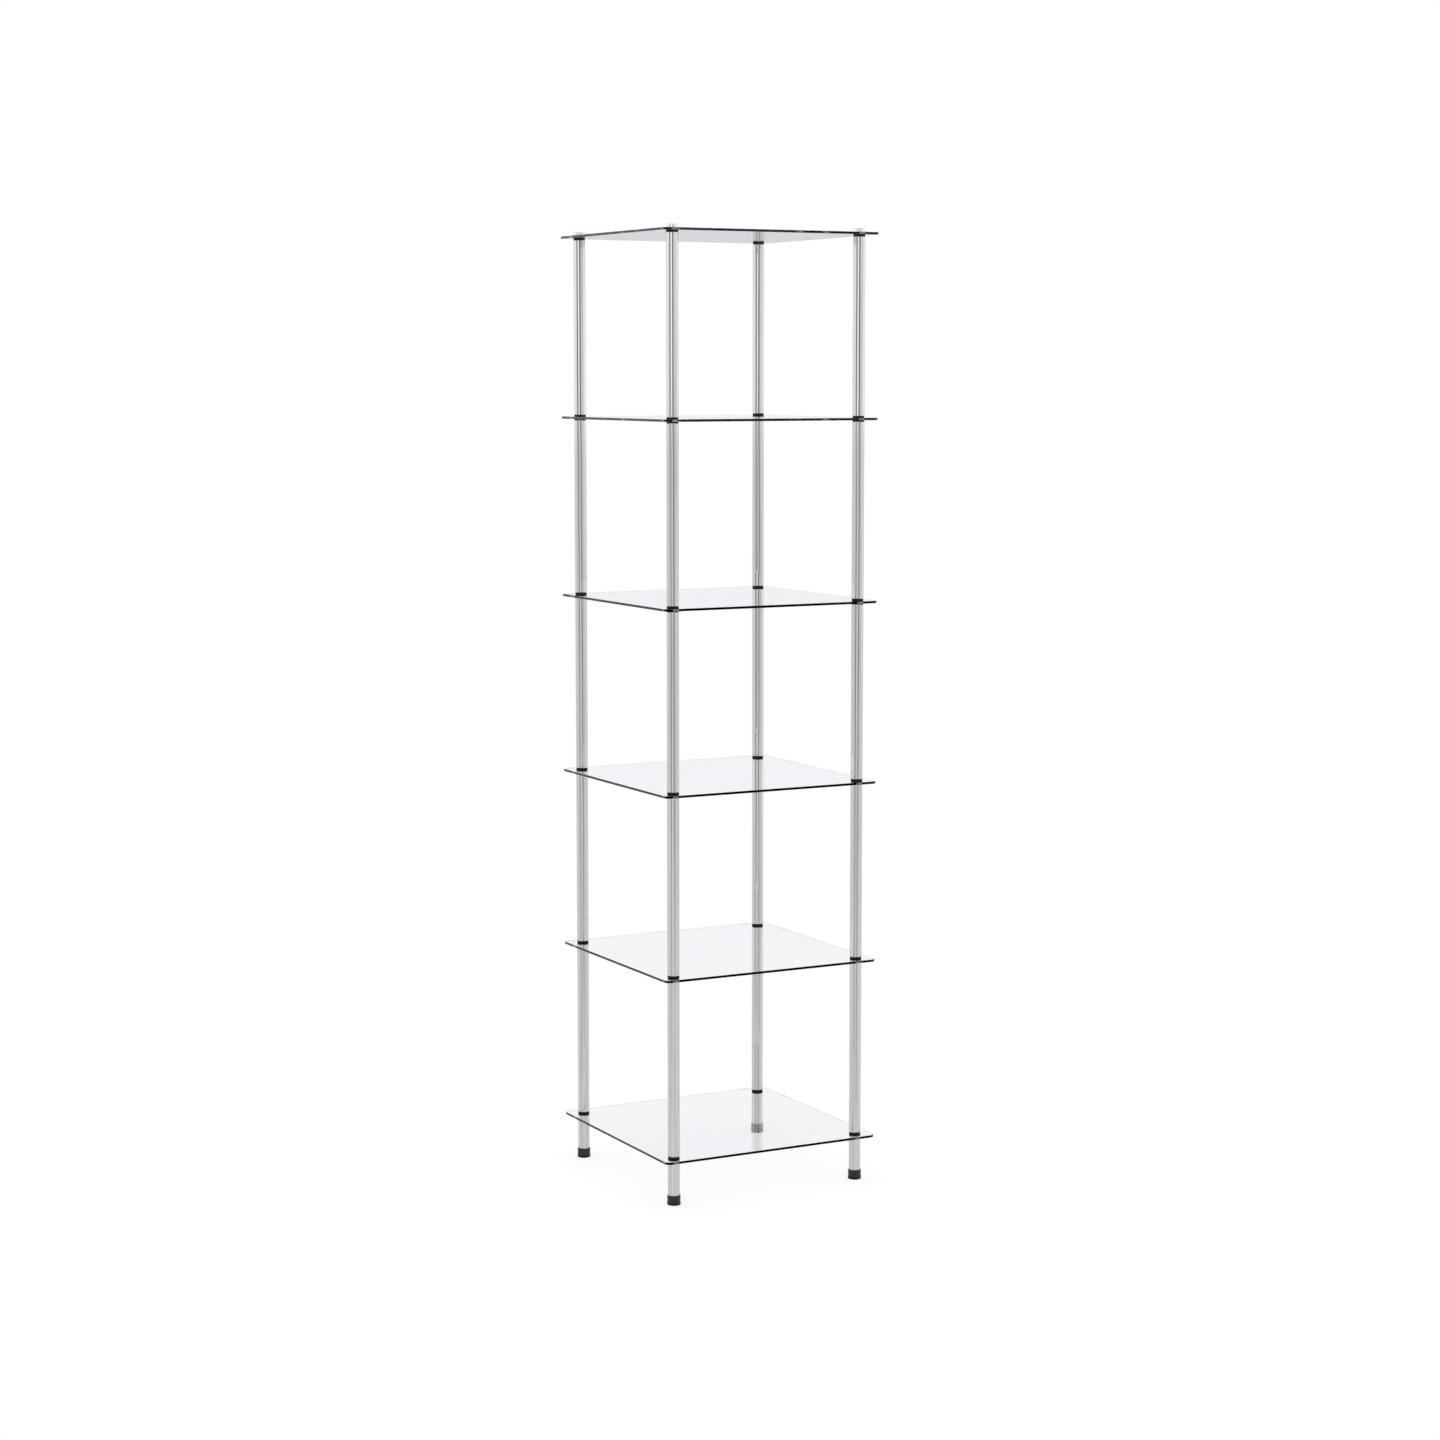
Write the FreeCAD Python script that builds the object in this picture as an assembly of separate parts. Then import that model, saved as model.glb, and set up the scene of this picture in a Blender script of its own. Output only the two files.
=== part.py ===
import FreeCAD
import Part
import os

# Glass etagere: six square glass shelves clamped between screwed chrome tubes, one post at each corner.
# Millimetres. X runs along the front edge, Y from front to back and Z up from the floor.
# The origin lies on the floor, under the middle of the shelves.

# Glass shelves
SHELF_COUNT = 6
SHELF_WIDTH = 400.0
SHELF_DEPTH = 400.0
SHELF_PITCH = 305.0
GLASS_THICKNESS = 4.0
GLASS_CORNER_RADIUS = 10.0
GLASS_ARRIS = 0.4

# Posts: the inset is measured from the shelf's edge to the post's axis
POST_INSET = 26.0
TUBE_DIAMETER = 20.0
TUBE_WALL = 1.0
TUBE_CHAMFER = 0.3
LEG_LENGTH = 69.0

# Rubber washers, one above and one below the glass at each post, with thin ones under the caps
WASHER_THICKNESS = 3.0
CAP_WASHER_THICKNESS = 1.0
WASHER_SETBACK = 0.25

# Screwed joint: a stud plug in the tube above screws into a socket plug in the tube below
THREAD_DIAMETER = 8.0
THREAD_ENGAGEMENT = 14.0
THREAD_LEAD_IN = 0.8
STUD_PLUG_LENGTH = 16.0
SOCKET_PLUG_LENGTH = 18.0

# Radial clearances
THREAD_CLEARANCE = 0.05
PLUG_CLEARANCE = 0.03
WASHER_CLEARANCE = 0.2
GLASS_HOLE_CLEARANCE = 1.0
FOOT_CLEARANCE = 0.05

# Caps on the top shelf, flush with the tubes
CAP_HEIGHT = 7.0
CAP_CHAMFER = 0.8

# Feet: cups pushed over the tubes' lower ends, with a base that stands a little proud of the wall
FOOT_HEIGHT = 16.5
FOOT_WALL = 1.0
FOOT_BASE = 3.0
FOOT_FLARE = 0.4
FOOT_CHAMFER = 1.0
FOOT_RIM_CHAMFER = 0.3

# Sizes that follow from the ones above
TUBE_RADIUS = TUBE_DIAMETER / 2
BORE_RADIUS = TUBE_RADIUS - TUBE_WALL
PLUG_RADIUS = BORE_RADIUS - PLUG_CLEARANCE
THREAD_RADIUS = THREAD_DIAMETER / 2
WASHER_RADIUS = TUBE_RADIUS - WASHER_SETBACK
FOOT_BORE_RADIUS = TUBE_RADIUS + FOOT_CLEARANCE
FOOT_RADIUS = FOOT_BORE_RADIUS + FOOT_WALL
CLAMPED_HEIGHT = GLASS_THICKNESS + 2 * WASHER_THICKNESS
CAP_CLAMPED_HEIGHT = GLASS_THICKNESS + WASHER_THICKNESS + CAP_WASHER_THICKNESS
POST_TUBE_LENGTH = SHELF_PITCH - CLAMPED_HEIGHT
LEG_TOP = FOOT_BASE + LEG_LENGTH
POST_X = SHELF_WIDTH / 2 - POST_INSET
POST_Y = SHELF_DEPTH / 2 - POST_INSET
CORNERS = {
    "front_left": (-POST_X, -POST_Y),
    "front_right": (POST_X, -POST_Y),
    "back_left": (-POST_X, POST_Y),
    "back_right": (POST_X, POST_Y),
}
SHELVES = range(1, SHELF_COUNT + 1)
TIERS = range(1, SHELF_COUNT)
UP = FreeCAD.Vector(0, 0, 1)


def shelf_underside(shelf):
    """Height of a shelf's lower face, counting shelves from 1 at the bottom."""
    return LEG_TOP + WASHER_THICKNESS + (shelf - 1) * SHELF_PITCH


def upper_washer_thickness(shelf):
    """Thickness of the washers on a shelf; the top shelf has the caps' thin ones."""
    return WASHER_THICKNESS if shelf < SHELF_COUNT else CAP_WASHER_THICKNESS


def washer_top(shelf):
    """Height of the upper face of the washers on a shelf, where the tubes or caps sit."""
    return shelf_underside(shelf) + GLASS_THICKNESS + upper_washer_thickness(shelf)


def tube_top(tier):
    """Height of a post tube's upper end; tier 1 stands on shelf 1."""
    return washer_top(tier) + POST_TUBE_LENGTH


def at_corners(shape, height):
    """A copy of a shape at each post, raised to a height, by corner name."""
    placed = {}
    for corner, (x, y) in CORNERS.items():
        placed[corner] = shape.translated(FreeCAD.Vector(x, y, height))
    return placed


def turned(outline):
    """The solid swept about Z by an outline of (radius, height) points."""
    points = [FreeCAD.Vector(radius, 0, height) for radius, height in outline]
    profile = Part.Face(Part.makePolygon(points + points[:1]))
    return profile.revolve(FreeCAD.Vector(), UP, 360)


def ring(outer_radius, inner_radius, height):
    """A ring that stands on Z = 0."""
    inner = Part.makeCylinder(inner_radius, height)
    return Part.makeCylinder(outer_radius, height).cut(inner)


def glass_blank():
    """A rectangular plate on Z = 0 with rounded corners."""
    corner = FreeCAD.Vector(-SHELF_WIDTH / 2, -SHELF_DEPTH / 2, 0)
    plate = Part.makeBox(SHELF_WIDTH, SHELF_DEPTH, GLASS_THICKNESS, corner)
    upright = [edge for edge in plate.Edges if edge.BoundBox.ZLength > GLASS_THICKNESS / 2]
    return plate.makeFillet(GLASS_CORNER_RADIUS, upright)


def glass_shelf():
    """A glass shelf on Z = 0, with its rims arrissed and a hole at each post."""
    plate = glass_blank()
    rims = [edge for edge in plate.Edges if edge.BoundBox.ZLength < GLASS_THICKNESS / 2]
    plate = plate.makeChamfer(GLASS_ARRIS, rims)
    hole = Part.makeCylinder(THREAD_RADIUS + GLASS_HOLE_CLEARANCE, GLASS_THICKNESS)
    for cutter in at_corners(hole, 0).values():
        plate = plate.cut(cutter)
    return plate


def tube(length):
    """A chrome tube that stands on Z = 0, with both ends chamfered outside."""
    return turned(
        [
            (BORE_RADIUS, 0),
            (TUBE_RADIUS - TUBE_CHAMFER, 0),
            (TUBE_RADIUS, TUBE_CHAMFER),
            (TUBE_RADIUS, length - TUBE_CHAMFER),
            (TUBE_RADIUS - TUBE_CHAMFER, length),
            (BORE_RADIUS, length),
        ]
    )


def washer(thickness):
    """A rubber washer that lies on Z = 0."""
    return ring(WASHER_RADIUS, THREAD_RADIUS + WASHER_CLEARANCE, thickness)


def stud_outline(clamped_height):
    """Half section of the threaded stud that hangs below Z = 0, from its tip to its root."""
    reach = clamped_height + THREAD_ENGAGEMENT
    return [
        (0, -reach),
        (THREAD_RADIUS - THREAD_LEAD_IN, -reach),
        (THREAD_RADIUS, -reach + THREAD_LEAD_IN),
        (THREAD_RADIUS, 0),
    ]


def stud_plug():
    """Plug for a tube's lower end, with the tube's end on Z = 0 and its stud below it."""
    body = [(PLUG_RADIUS, 0), (PLUG_RADIUS, STUD_PLUG_LENGTH), (0, STUD_PLUG_LENGTH)]
    return turned(stud_outline(CLAMPED_HEIGHT) + body)


def socket_plug():
    """Threaded plug for a tube's upper end, with the tube's end on Z = 0."""
    socket = ring(PLUG_RADIUS, THREAD_RADIUS + THREAD_CLEARANCE, SOCKET_PLUG_LENGTH)
    return socket.translated(FreeCAD.Vector(0, 0, -SOCKET_PLUG_LENGTH))


def top_cap():
    """Cap screw that seats on Z = 0 and holds the top shelf down."""
    head = [
        (TUBE_RADIUS, 0),
        (TUBE_RADIUS, CAP_HEIGHT - CAP_CHAMFER),
        (TUBE_RADIUS - CAP_CHAMFER, CAP_HEIGHT),
        (0, CAP_HEIGHT),
    ]
    return turned(stud_outline(CAP_CLAMPED_HEIGHT) + head)


def foot():
    """Plastic cup that stands on Z = 0 and takes the end of a leg tube on its floor."""
    base_radius = FOOT_RADIUS + FOOT_FLARE
    return turned(
        [
            (0, 0),
            (base_radius - FOOT_CHAMFER, 0),
            (base_radius, FOOT_CHAMFER),
            (base_radius, FOOT_BASE),
            (FOOT_RADIUS, FOOT_BASE + FOOT_FLARE),
            (FOOT_RADIUS, FOOT_HEIGHT - FOOT_RIM_CHAMFER),
            (FOOT_RADIUS - FOOT_RIM_CHAMFER, FOOT_HEIGHT),
            (FOOT_BORE_RADIUS, FOOT_HEIGHT),
            (FOOT_BORE_RADIUS, FOOT_BASE),
            (0, FOOT_BASE),
        ]
    )


def save(node, solids):
    """Write one node, made of one solid or of a group of separate solids."""
    shape = solids[0] if len(solids) == 1 else Part.makeCompound(solids)
    shape.exportStep("parts/" + node + ".step")


def save_each(prefix, placed):
    """Write a node for each corner."""
    for corner, solid in placed.items():
        save(prefix + "_" + corner, [solid])


def save_group(node, placed):
    """Write the four corners' solids as one node."""
    save(node, list(placed.values()))


def main():
    os.makedirs("parts", exist_ok=True)

    plate = glass_shelf()
    lower_washer = washer(WASHER_THICKNESS)
    for shelf in SHELVES:
        underside = shelf_underside(shelf)
        upper_washer = washer(upper_washer_thickness(shelf))
        save("shelf_%d" % shelf, [plate.translated(UP * underside)])
        save_group("washers_below_shelf_%d" % shelf, at_corners(lower_washer, underside - WASHER_THICKNESS))
        save_group("washers_above_shelf_%d" % shelf, at_corners(upper_washer, underside + GLASS_THICKNESS))

    post = tube(POST_TUBE_LENGTH)
    stud = stud_plug()
    socket = socket_plug()
    post_sockets = []
    for tier in TIERS:
        save_each("post_tube_%d" % tier, at_corners(post, washer_top(tier)))
        save_group("stud_plugs_tier_%d" % tier, at_corners(stud, washer_top(tier)))
        post_sockets += at_corners(socket, tube_top(tier)).values()
    save("post_socket_plugs", post_sockets)

    save_each("leg_tube", at_corners(tube(LEG_LENGTH), FOOT_BASE))
    save_group("leg_socket_plugs", at_corners(socket, LEG_TOP))
    save_each("top_cap", at_corners(top_cap(), washer_top(SHELF_COUNT)))
    save_each("foot", at_corners(foot(), 0))


main()
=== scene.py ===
import bpy
import math
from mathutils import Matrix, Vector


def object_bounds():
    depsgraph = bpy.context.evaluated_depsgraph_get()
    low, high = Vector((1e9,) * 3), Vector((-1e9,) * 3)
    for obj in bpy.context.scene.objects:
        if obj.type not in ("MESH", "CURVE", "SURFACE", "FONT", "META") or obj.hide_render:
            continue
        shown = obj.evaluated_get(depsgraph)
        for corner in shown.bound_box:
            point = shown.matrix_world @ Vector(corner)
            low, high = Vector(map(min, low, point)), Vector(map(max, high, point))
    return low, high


# Glass etagere: clear shelves clamped between chrome tubes with black washers, on black feet.
# Metres. The CAD nodes carry every shape, and this script gives them their finishes, light and camera.

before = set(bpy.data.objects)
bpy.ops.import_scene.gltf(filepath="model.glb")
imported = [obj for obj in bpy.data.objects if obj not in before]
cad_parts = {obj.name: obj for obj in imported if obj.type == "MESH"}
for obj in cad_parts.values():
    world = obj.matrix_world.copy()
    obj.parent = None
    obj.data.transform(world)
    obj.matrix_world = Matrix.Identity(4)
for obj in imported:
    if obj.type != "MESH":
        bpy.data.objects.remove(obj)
cad_low, cad_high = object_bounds()

# Camera: it stands off the front left corner, a little above the second shelf from the top
CAMERA_PLACE = (-2.392, -4.516, 1.375)
CAMERA_AZIMUTH = 27.96
CAMERA_PITCH = 6.605
CAMERA_LENS = 75.19
SENSOR_WIDTH = 36.0

# Floor: part glow and part matt white, so that it is white and still holds a soft shadow
FLOOR_HALF_SIZE = 0.7
FLOOR_DROP = 0.0002
FLOOR_ALBEDO = 0.3
FLOOR_GLOW = 0.69
FLOOR_GLOW_MIRRORED = 0.65
FLOOR_GLOW_THROUGH_GLASS = 0.59

# Studio walls as polished surfaces see them, above and below the eye's level.
# Panels are (degrees round from the camera's side, level), growing towards the right of the picture.
# The dips are the gaps between the light panels. The far wall has a gap at each side for views from behind.
HALF_TURN = 180
RAMP_MIDDLE = 0.5
FAR_WALL_ANGLE = 150
FAR_WALL = (0.91, 0.925, 0.955)
FAR_WALL_LOW = (0.68, 0.70, 0.74)
FAR_GAP = (0.12, 0.12, 0.12)
FAR_GAP_ANGLES = (156, 160, 166, 170)
UPPER_PANELS = (
    (-138, 1.30),
    (-90, 1.33),
    (-72, 1.30),
    (-58, 1.10),
    (-49, 0.22),
    (-38, 0.22),
    (-28, 1.30),
    (-14, 1.55),
    (-3, 1.10),
    (6, 0.10),
    (16, 0.10),
    (26, 1.10),
    (42, 1.05),
    (52, 0.90),
    (66, 1.00),
    (84, 1.25),
    (102, 1.40),
    (130, 1.40),
)
LOWER_PANELS = (
    (-138, 1.05),
    (-102, 1.05),
    (-78, 0.98),
    (-60, 0.92),
    (-45, 0.85),
    (-37, 0.35),
    (-27, 0.35),
    (-18, 0.95),
    (-5, 1.00),
    (8, 0.85),
    (16, 0.35),
    (28, 0.35),
    (37, 0.85),
    (66, 0.90),
    (85, 1.08),
    (130, 1.10),
)
PANEL_BAND = (-0.030, -0.008)
HORIZON_BAND = (-0.015, 0.005)
CEILING_BAND = (0.10, 0.50)
CEILING = (1.0, 1.0, 1.0)
FLOOR_BAND = (-0.30, -0.08)
FAR_FLOOR_MIRRORED = (0.98, 0.98, 0.98)
FAR_FLOOR_THROUGH_GLASS = (0.92, 0.92, 0.92)
WHITE = (1.0, 1.0, 1.0)

# Soft lamp overhead
LAMP_HEIGHT = 3.2
LAMP_SIZE = 1.6
LAMP_POWER = 14.0

# Middle of a noise's range, over which a finish changes
NOISE_BAND = (0.3, 0.7)

# Parts of a sheet: what lies flat is a face, what lies near the rim is an edge, and the rest are holes
FACE_LEAN = 0.9
RIM_WIDTH = 0.012

# Glass faces, with the roughness of their smudges
GLASS_IOR = 1.52
GLASS_TINT = (0.966, 0.973, 0.990)
SMUDGE_SIZE = 0.06
SMUDGE_BAND = (0.5, 0.8)
SMUDGE_ROUGHNESS = (0.0, 0.006)

# Glass edges: green from outside, and dark from within unless the way through the sheet was short
EDGE_TINT = (0.30, 0.40, 0.37)
EDGE_SHADES = (0.8, 1.2)
EDGE_SHADE_SIZE = 0.05
EDGE_DEPTH = (0.00010, 0.00030, 0.00025)
EDGE_CLEAR_LENGTH = (0.010, 0.030)
EDGE_CLEAR_TURNS = (1.2, 1.8)
EDGE_SHEEN = (0.0, 0.0, 0.0)
EDGE_GRIND_SIZE = 0.004
EDGE_GRIND_STRETCH = (1.0, 1.0, 0.2)
EDGE_ROUGHNESS = (0.04, 0.12)

# Drilled holes: frosted, and dark through a long way of glass
HOLE_COLOUR = (0.93, 0.95, 0.94)
HOLE_SHADES = (0.9, 1.0)
HOLE_FAR_COLOUR = (0.01, 0.02, 0.018)
HOLE_FAR_LENGTH = (0.06, 0.16)
HOLE_GRIND_SIZE = 0.0006
HOLE_GRIND_STRETCH = (3.0, 3.0, 1.0)
HOLE_ROUGHNESS = (0.55, 0.75)
HOLE_BUMP = (0.00003, 0.3)

# Plate on tubes and caps: fine lines along the tube, broad streaks of painted reflection along it, and haze
CHROME_COLOUR = (0.56, 0.565, 0.57)
CHROME_ROUGHNESS = 0.02
CAP_COLOUR = (0.76, 0.765, 0.77)
CAP_ROUGHNESS = 0.32
LINE_SIZE = 0.0006
LINE_STRETCH = (1.0, 1.0, 60.0)
LINE_BAND = (0.35, 0.65)
LINE_ROUGHNESS = 0.03
LINE_BUMP = (0.000002, 0.1)
REFLECTION_STREAK_SIZE = 0.004
REFLECTION_STREAK_STRETCH = (1.0, 1.0, 120.0)
REFLECTION_STREAK_SHADES = (1.10, 0.90)
HAZE_SIZE = 0.03
HAZE_BAND = (0.4, 0.75)
HAZE_ROUGHNESS = (0.0, 0.03)

# Rubber washers
RUBBER_COLOUR = (0.007, 0.007, 0.008)
RUBBER_SHADES = (0.7, 1.5)
RUBBER_SHINE = 0.20
RUBBER_BLOOM_SIZE = 0.004
RUBBER_GRAIN_SIZE = 0.0003
RUBBER_ROUGHNESS = (0.5, 0.72)
RUBBER_BUMP = (0.00005, 0.35)

# Plastic feet, with painted shade: a duller copy of the plastic up to the top of the base stands in for the
# shade where the foot meets the floor
FOOT_COLOUR = (0.013, 0.013, 0.014)
FOOT_SHADES = (0.75, 1.4)
FOOT_SHINE = 0.35
FOOT_SHADED_BASE_SHINE = 0.06
FOOT_SHADED_BASE_TOP = 0.0034
FOOT_GRAIN_SIZE = 0.0005
FOOT_FLOW_SIZE = 0.008
FOOT_FLOW_STRETCH = (1.0, 1.0, 2.0)
FOOT_ROUGHNESS = (0.3, 0.5)
FOOT_BUMP = (0.00006, 0.4)

# Zinc plated plugs and studs inside the posts
STEEL_COLOUR = (0.60, 0.61, 0.60)
STEEL_SHADES = (0.85, 1.08)
STEEL_BLOOM_SIZE = 0.003
STEEL_TURNING_SIZE = 0.0004
STEEL_TURNING_STRETCH = (20.0, 20.0, 1.0)
STEEL_ROUGHNESS = (0.28, 0.48)
STEEL_BUMP = (0.00003, 0.3)


def opaque(colour):
    """A colour with full alpha, as sockets take it."""
    return (*colour, 1.0)


def scaled(colour, factor):
    """A lighter or darker shade of a colour."""
    return tuple(channel * factor for channel in colour)


class Shader:
    """A node tree with short ways to add and wire nodes."""

    def __init__(self, tree):
        self.tree = tree
        self.tree.nodes.clear()

    def add(self, kind, **settings):
        node = self.tree.nodes.new("ShaderNode" + kind)
        for name, value in settings.items():
            setattr(node, name, value)
        return node

    def feed(self, source, socket):
        """Wire an output to an input, or set the input's own value."""
        if isinstance(source, bpy.types.NodeSocket):
            self.tree.links.new(source, socket)
        else:
            socket.default_value = source

    def maths(self, operation, first, second=0.0):
        node = self.add("Math", operation=operation)
        self.feed(first, node.inputs[0])
        self.feed(second, node.inputs[1])
        return node.outputs[0]

    def spread(self, value, low, high, to_low=0.0, to_high=1.0):
        """Ease a value from one range into another, held at both ends."""
        node = self.add("MapRange", interpolation_type="SMOOTHSTEP")
        for socket, number in zip(node.inputs, (value, low, high, to_low, to_high)):
            self.feed(number, socket)
        return node.outputs[0]

    def blend(self, factor, first, second):
        """Mix two colours."""
        node = self.add("Mix", data_type="RGBA")
        sockets = [s for s in node.inputs if s.type == "RGBA"]
        self.feed(factor, node.inputs[0])
        self.feed(first, sockets[0])
        self.feed(second, sockets[1])
        return [s for s in node.outputs if s.type == "RGBA"][0]

    def shades(self, factor, colour, levels):
        """Shades of a colour, from the first level to the second as the factor grows."""
        first, second = [opaque(scaled(colour, level)) for level in levels]
        return self.blend(factor, first, second)

    def noise(self, size, stretch=(1.0, 1.0, 1.0), detail=2.0):
        """Noise whose lumps are about size metres across, drawn out along the axes by stretch."""
        place = self.add("TexCoord").outputs["Object"]
        mapping = self.add("Mapping")
        mapping.inputs["Scale"].default_value = [1.0 / (size * along) for along in stretch]
        self.feed(place, mapping.inputs["Vector"])
        node = self.add("TexNoise")
        node.inputs["Scale"].default_value = 1.0
        node.inputs["Detail"].default_value = detail
        self.feed(mapping.outputs["Vector"], node.inputs["Vector"])
        return node.outputs["Fac"]

    def bump(self, height, depth, strength):
        node = self.add("Bump")
        node.inputs["Distance"].default_value = depth
        node.inputs["Strength"].default_value = strength
        self.feed(height, node.inputs["Height"])
        return node.outputs["Normal"]

    def principled(self, **values):
        """A Principled shader; underscores in the names stand for spaces."""
        node = self.add("BsdfPrincipled")
        for name, value in values.items():
            self.feed(value, node.inputs[name.replace("_", " ")])
        return node.outputs["BSDF"]

    def mix(self, factor, first, second):
        """Mix two shaders."""
        node = self.add("MixShader")
        self.feed(factor, node.inputs[0])
        self.feed(first, node.inputs[1])
        self.feed(second, node.inputs[2])
        return node.outputs[0]


def new_material(name):
    material = bpy.data.materials.new(name)
    material.use_nodes = True
    return material, Shader(material.node_tree)


def close(shader, surface):
    """Wire a shader to the surface output."""
    shader.feed(surface, shader.add("OutputMaterial").inputs["Surface"])


def lit_through(shader, glass, tint):
    """Glass that lamps and stray light pass straight through."""
    path = shader.add("LightPath")
    clear = shader.add("BsdfTransparent")
    clear.inputs["Color"].default_value = opaque(tint)
    soft = shader.mix(path.outputs["Is Diffuse Ray"], glass, clear.outputs[0])
    return shader.mix(path.outputs["Is Shadow Ray"], soft, clear.outputs[0])


def glass_face_material():
    """Clear float glass with a trace of handling on its faces."""
    material, shader = new_material("clear_glass")
    smudges = shader.noise(SMUDGE_SIZE, detail=4.0)
    glass = shader.principled(
        Base_Color=opaque(GLASS_TINT),
        Roughness=shader.spread(smudges, *SMUDGE_BAND, *SMUDGE_ROUGHNESS),
        IOR=GLASS_IOR,
        Transmission_Weight=1.0,
    )
    close(shader, lit_through(shader, glass, GLASS_TINT))
    return material


def glass_edge_material():
    """Polished glass edge, which looks dark where it shows a long way through the sheet."""
    material, shader = new_material("glass_edge")
    grind = shader.noise(EDGE_GRIND_SIZE, EDGE_GRIND_STRETCH)
    outside = shader.shades(shader.noise(EDGE_SHADE_SIZE), EDGE_TINT, EDGE_SHADES)
    path = shader.add("LightPath")
    long_way = shader.spread(path.outputs["Ray Length"], *EDGE_CLEAR_LENGTH)
    many_turns = shader.spread(path.outputs["Ray Depth"], *EDGE_CLEAR_TURNS)
    deep = shader.maths("MAXIMUM", long_way, many_turns)
    within = shader.blend(deep, opaque(GLASS_TINT), opaque(EDGE_DEPTH))
    from_within = shader.add("NewGeometry").outputs["Backfacing"]
    glass = shader.principled(
        Base_Color=shader.blend(from_within, outside, within),
        Roughness=shader.spread(grind, *NOISE_BAND, *EDGE_ROUGHNESS),
        IOR=GLASS_IOR,
        Transmission_Weight=1.0,
        Specular_Tint=opaque(EDGE_SHEEN),
    )
    close(shader, lit_through(shader, glass, GLASS_TINT))
    return material


def drilled_material():
    """Ground wall of the holes in the glass."""
    material, shader = new_material("drilled_glass")
    grind = shader.noise(HOLE_GRIND_SIZE, HOLE_GRIND_STRETCH, detail=3.0)
    near_colour = shader.shades(grind, HOLE_COLOUR, HOLE_SHADES)
    far = shader.spread(shader.add("LightPath").outputs["Ray Length"], *HOLE_FAR_LENGTH)
    far = shader.maths("MULTIPLY", far, shader.add("NewGeometry").outputs["Backfacing"])
    frosted = shader.principled(
        Base_Color=shader.blend(far, near_colour, opaque(HOLE_FAR_COLOUR)),
        Roughness=shader.spread(grind, *NOISE_BAND, *HOLE_ROUGHNESS),
        Normal=shader.bump(grind, *HOLE_BUMP),
    )
    close(shader, frosted)
    return material


def plated_material(name, plate, polish):
    """Plated metal of a given polish, with the faint lines of drawing or turning under the plate, and
    streaks of painted reflection along it.
    """
    material, shader = new_material(name)
    lines = shader.noise(LINE_SIZE, LINE_STRETCH, detail=3.0)
    # Lighter and darker streaks in the plate's colour along the tube are painted reflection
    reflection_streaks = shader.noise(REFLECTION_STREAK_SIZE, REFLECTION_STREAK_STRETCH)
    haze = shader.noise(HAZE_SIZE, detail=3.0)
    lined = shader.spread(lines, *LINE_BAND, polish, polish + LINE_ROUGHNESS)
    hazed = shader.spread(haze, *HAZE_BAND, *HAZE_ROUGHNESS)
    metal = shader.principled(
        Base_Color=shader.shades(shader.spread(reflection_streaks, *NOISE_BAND), plate, REFLECTION_STREAK_SHADES),
        Metallic=1.0,
        Roughness=shader.maths("ADD", lined, hazed),
        Normal=shader.bump(lines, *LINE_BUMP),
    )
    close(shader, metal)
    return material


def rubber_material():
    """Black moulded rubber with a fine bloom."""
    material, shader = new_material("black_rubber")
    bloom = shader.noise(RUBBER_BLOOM_SIZE, detail=4.0)
    grain = shader.noise(RUBBER_GRAIN_SIZE)
    rubber = shader.principled(
        Base_Color=shader.shades(bloom, RUBBER_COLOUR, RUBBER_SHADES),
        Roughness=shader.spread(bloom, *NOISE_BAND, *RUBBER_ROUGHNESS),
        Specular_IOR_Level=RUBBER_SHINE,
        Normal=shader.bump(grain, *RUBBER_BUMP),
    )
    close(shader, rubber)
    return material


def foot_material(name, shine):
    """Black plastic of a given shine, with a fine moulded grain."""
    material, shader = new_material(name)
    grain = shader.noise(FOOT_GRAIN_SIZE, detail=3.0)
    flow = shader.noise(FOOT_FLOW_SIZE, FOOT_FLOW_STRETCH)
    plastic = shader.principled(
        Base_Color=shader.shades(flow, FOOT_COLOUR, FOOT_SHADES),
        Roughness=shader.spread(grain, *NOISE_BAND, *FOOT_ROUGHNESS),
        Specular_IOR_Level=shine,
        Normal=shader.bump(grain, *FOOT_BUMP),
    )
    close(shader, plastic)
    return material


def steel_material():
    """Zinc plated steel of the hidden plugs and studs."""
    material, shader = new_material("zinc_steel")
    bloom = shader.noise(STEEL_BLOOM_SIZE, detail=5.0)
    turning = shader.noise(STEEL_TURNING_SIZE, STEEL_TURNING_STRETCH)
    metal = shader.principled(
        Base_Color=shader.shades(bloom, STEEL_COLOUR, STEEL_SHADES),
        Metallic=1.0,
        Roughness=shader.spread(bloom, *NOISE_BAND, *STEEL_ROUGHNESS),
        Normal=shader.bump(turning, *STEEL_BUMP),
    )
    close(shader, metal)
    return material


def finish_node(node, *materials):
    """Give a CAD node its materials."""
    slots = node.data.materials
    slots.clear()
    for material in materials:
        slots.append(material)


def finish_shelf(node, face, edge, drilled):
    """Clear faces, polished edges with their arrises, and ground holes."""
    finish_node(node, face, edge, drilled)
    rim_x = cad_high.x - RIM_WIDTH
    rim_y = cad_high.y - RIM_WIDTH
    for polygon in node.data.polygons:
        if abs(polygon.normal.z) > FACE_LEAN:
            polygon.material_index = 0
        elif abs(polygon.center.x) > rim_x or abs(polygon.center.y) > rim_y:
            polygon.material_index = 1
        else:
            polygon.material_index = 2


def finish_foot(node, side, base):
    """A plain side, and a duller copy of the plastic at the base where it meets the floor, as painted
    shade.
    """
    finish_node(node, side, base)
    for polygon in node.data.polygons:
        polygon.material_index = int(polygon.center.z < FOOT_SHADED_BASE_TOP)


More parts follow.
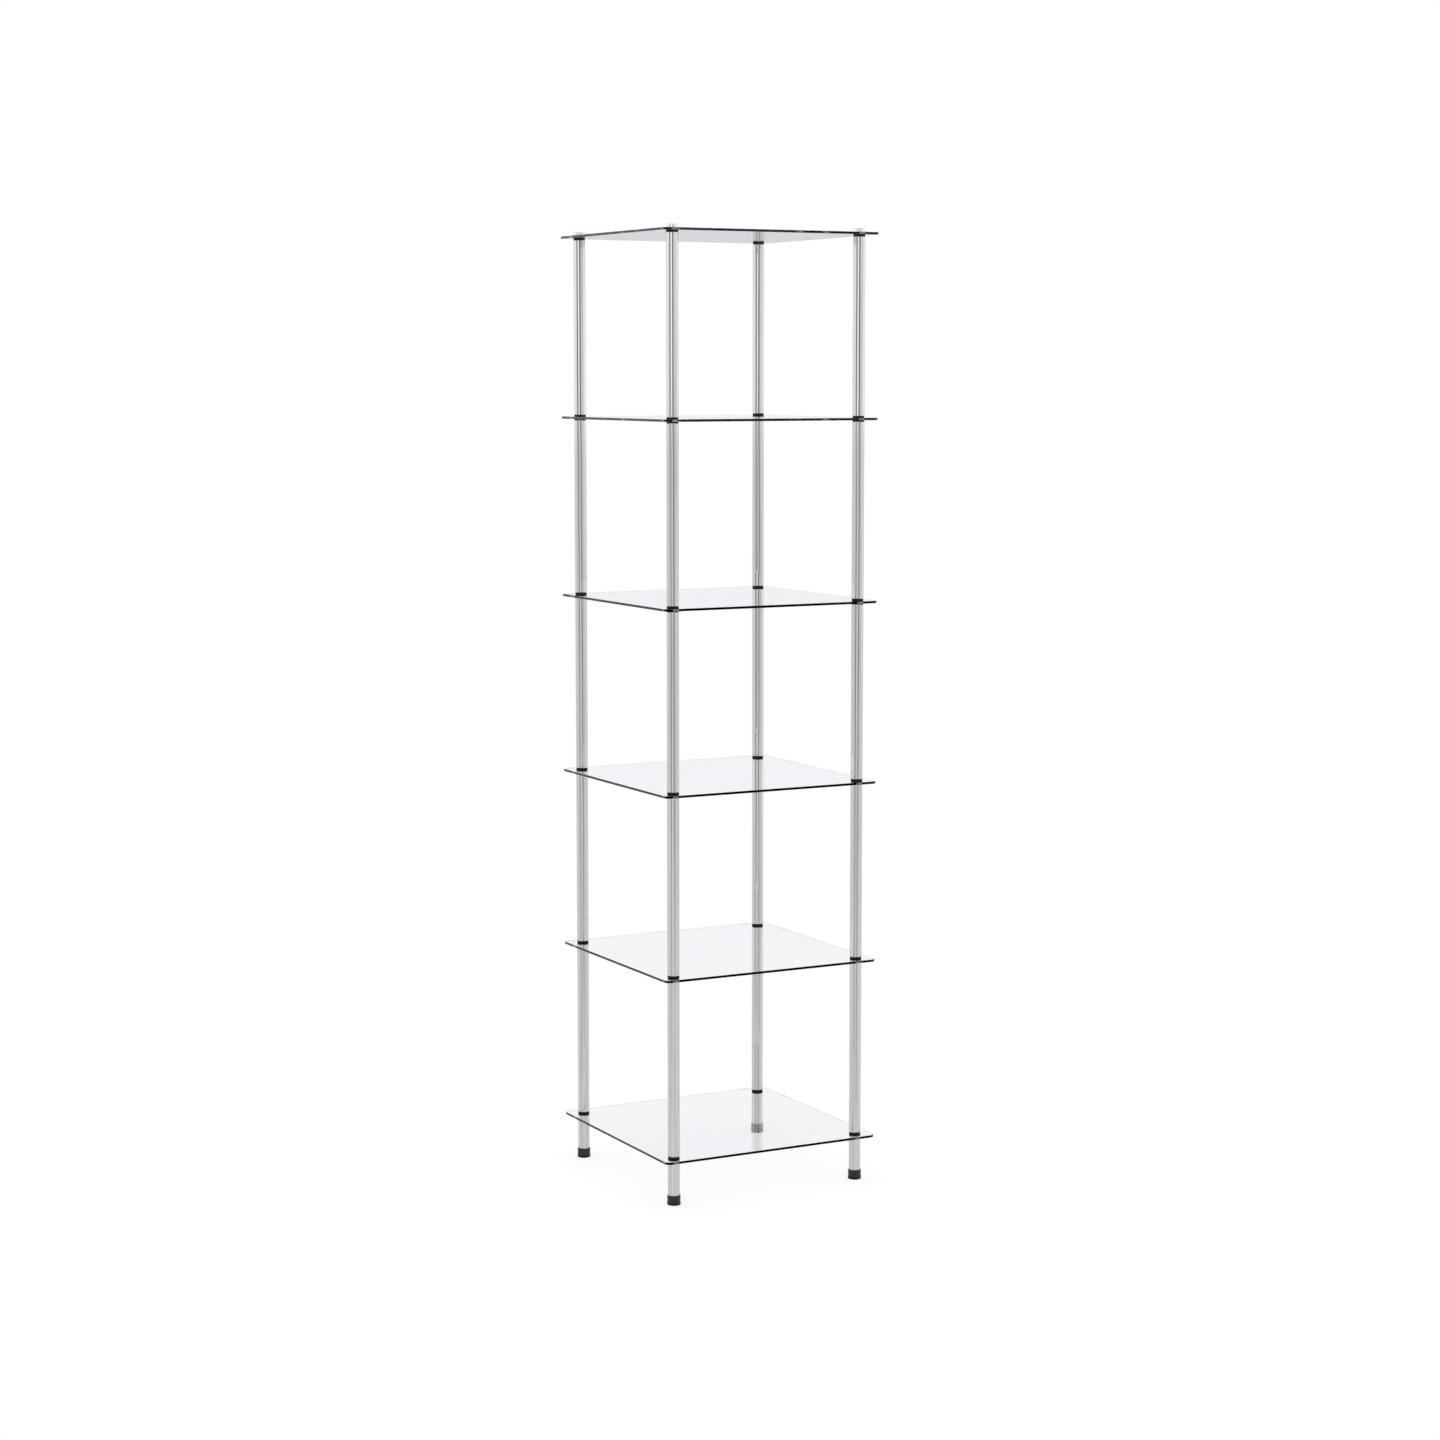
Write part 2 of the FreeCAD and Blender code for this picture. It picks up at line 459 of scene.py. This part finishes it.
def dress_nodes():
    glass = (glass_face_material(), glass_edge_material(), drilled_material())
    plastic = (
        foot_material("black_plastic", FOOT_SHINE),
        # Duller copy for the base: painted shade where the foot meets the floor
        foot_material("black_plastic_painted_shade", FOOT_SHADED_BASE_SHINE),
    )
    by_start = {
        "washers_": rubber_material(),
        "stud_plugs_": steel_material(),
        "post_tube_": plated_material("chrome_plate", CHROME_COLOUR, CHROME_ROUGHNESS),
        "top_cap_": plated_material("satin_plate", CAP_COLOUR, CAP_ROUGHNESS),
    }
    by_start["leg_tube_"] = by_start["post_tube_"]
    by_start["post_socket_plugs"] = by_start["stud_plugs_"]
    by_start["leg_socket_plugs"] = by_start["stud_plugs_"]
    for name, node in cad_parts.items():
        if name.startswith("shelf_"):
            finish_shelf(node, *glass)
        elif name.startswith("foot_"):
            finish_foot(node, *plastic)
        else:
            (material,) = [m for start, m in by_start.items() if name.startswith(start)]
            finish_node(node, material)


def make_floor():
    """A plain white floor under the feet."""
    low = cad_low.z - FLOOR_DROP
    reach = FLOOR_HALF_SIZE
    corners = [(-reach, -reach, low), (reach, -reach, low), (reach, reach, low), (-reach, reach, low)]
    mesh = bpy.data.meshes.new("studio_floor")
    mesh.from_pydata(corners, [], [(0, 1, 2, 3)])
    floor = bpy.data.objects.new("studio_floor", mesh)
    bpy.context.scene.collection.objects.link(floor)
    material, shader = new_material("studio_floor")
    path = shader.add("LightPath")
    straight = shader.maths("MULTIPLY", path.outputs["Is Camera Ray"], FLOOR_GLOW)
    mirrored = shader.maths("MULTIPLY", path.outputs["Is Glossy Ray"], FLOOR_GLOW_MIRRORED)
    through = shader.maths("MULTIPLY", path.outputs["Is Transmission Ray"], FLOOR_GLOW_THROUGH_GLASS)
    not_through = shader.maths("SUBTRACT", 1.0, path.outputs["Is Transmission Ray"])
    outside_glass = shader.maths("MULTIPLY", shader.maths("MAXIMUM", straight, mirrored), not_through)
    glow = shader.add("Emission")
    shader.feed(shader.maths("MAXIMUM", outside_glass, through), glow.inputs["Strength"])
    matt = shader.add("BsdfDiffuse")
    matt.inputs["Color"].default_value = opaque(scaled(WHITE, FLOOR_ALBEDO))
    both = shader.add("AddShader")
    shader.feed(glow.outputs[0], both.inputs[0])
    shader.feed(matt.outputs[0], both.inputs[1])
    close(shader, both.outputs[0])
    mesh.materials.append(material)


def wall_ramp(shader, share, far_wall, panels):
    """Colours right round the studio: the wall behind the object, and the panels on the camera's side."""
    half = [(FAR_WALL_ANGLE, far_wall)]
    half += zip(FAR_GAP_ANGLES, (far_wall, FAR_GAP, FAR_GAP, far_wall))
    half += [(HALF_TURN, far_wall)]
    colours = [(-degrees, colour) for degrees, colour in reversed(half)]
    colours += [(degrees, scaled(WHITE, level)) for degrees, level in panels]
    colours += half
    ramp = shader.add("ValToRGB")
    stops = ramp.color_ramp.elements
    stops[0].position = 0.0
    stops[1].position = 1.0
    for degrees, _ in colours[1:-1]:
        stops.new(degrees / (2 * HALF_TURN) + RAMP_MIDDLE)
    for stop, (_, colour) in zip(stops, colours):
        stop.color = opaque(colour)
    shader.feed(share, ramp.inputs[0])
    return ramp.outputs["Color"]


def make_world():
    """A white studio: plain white to the eye, with panels and gaps that only polished surfaces show."""
    world = bpy.data.worlds.new("studio")
    bpy.context.scene.world = world
    world.use_nodes = True
    shader = Shader(world.node_tree)
    ray = shader.add("TexCoord").outputs["Generated"]
    turn = math.radians(CAMERA_AZIMUTH)
    towards = shader.add("VectorMath", operation="DOT_PRODUCT")
    shader.feed(ray, towards.inputs[0])
    shader.feed((-math.sin(turn), -math.cos(turn), 0.0), towards.inputs[1])
    across = shader.add("VectorMath", operation="DOT_PRODUCT")
    shader.feed(ray, across.inputs[0])
    shader.feed((math.cos(turn), -math.sin(turn), 0.0), across.inputs[1])
    angle = shader.maths("ARCTAN2", across.outputs["Value"], towards.outputs["Value"])
    share = shader.maths("MULTIPLY_ADD", angle, 1.0 / math.tau)
    share.node.inputs[2].default_value = RAMP_MIDDLE

    split = shader.add("SeparateXYZ")
    shader.feed(ray, split.inputs[0])
    height = split.outputs["Z"]
    upper = wall_ramp(shader, share, FAR_WALL, UPPER_PANELS)
    lower = wall_ramp(shader, share, FAR_WALL_LOW, LOWER_PANELS)
    studio = shader.blend(shader.spread(height, *PANEL_BAND), lower, upper)
    studio = shader.blend(shader.spread(height, *CEILING_BAND), studio, opaque(CEILING))
    studio = shader.blend(shader.spread(height, *FLOOR_BAND, 1.0, 0.0), studio, opaque(FAR_FLOOR_MIRRORED))

    path = shader.add("LightPath")
    downward = shader.spread(height, *HORIZON_BAND, 1.0, 0.0)
    through = shader.maths("MULTIPLY", path.outputs["Is Transmission Ray"], downward)
    studio = shader.blend(through, studio, opaque(FAR_FLOOR_THROUGH_GLASS))
    studio = shader.blend(path.outputs["Is Camera Ray"], studio, opaque(WHITE))
    background = shader.add("Background")
    shader.feed(studio, background.inputs["Color"])
    shader.feed(background.outputs[0], shader.add("OutputWorld").inputs["Surface"])


def make_lamp():
    """One large soft lamp overhead."""
    data = bpy.data.lights.new("overhead_lamp", "AREA")
    data.shape = "SQUARE"
    data.size = LAMP_SIZE
    data.energy = LAMP_POWER
    lamp = bpy.data.objects.new("overhead_lamp", data)
    lamp.location = (0.0, 0.0, LAMP_HEIGHT)
    bpy.context.scene.collection.objects.link(lamp)


def make_camera():
    data = bpy.data.cameras.new("camera")
    data.sensor_width = SENSOR_WIDTH
    data.lens = CAMERA_LENS
    camera = bpy.data.objects.new("camera", data)
    camera.location = CAMERA_PLACE
    camera.rotation_euler = (math.radians(90 - CAMERA_PITCH), 0.0, -math.radians(CAMERA_AZIMUTH))
    bpy.context.scene.collection.objects.link(camera)
    bpy.context.scene.camera = camera


dress_nodes()
make_floor()
make_world()
make_lamp()
make_camera()
bpy.context.scene.view_settings.view_transform = "Standard"
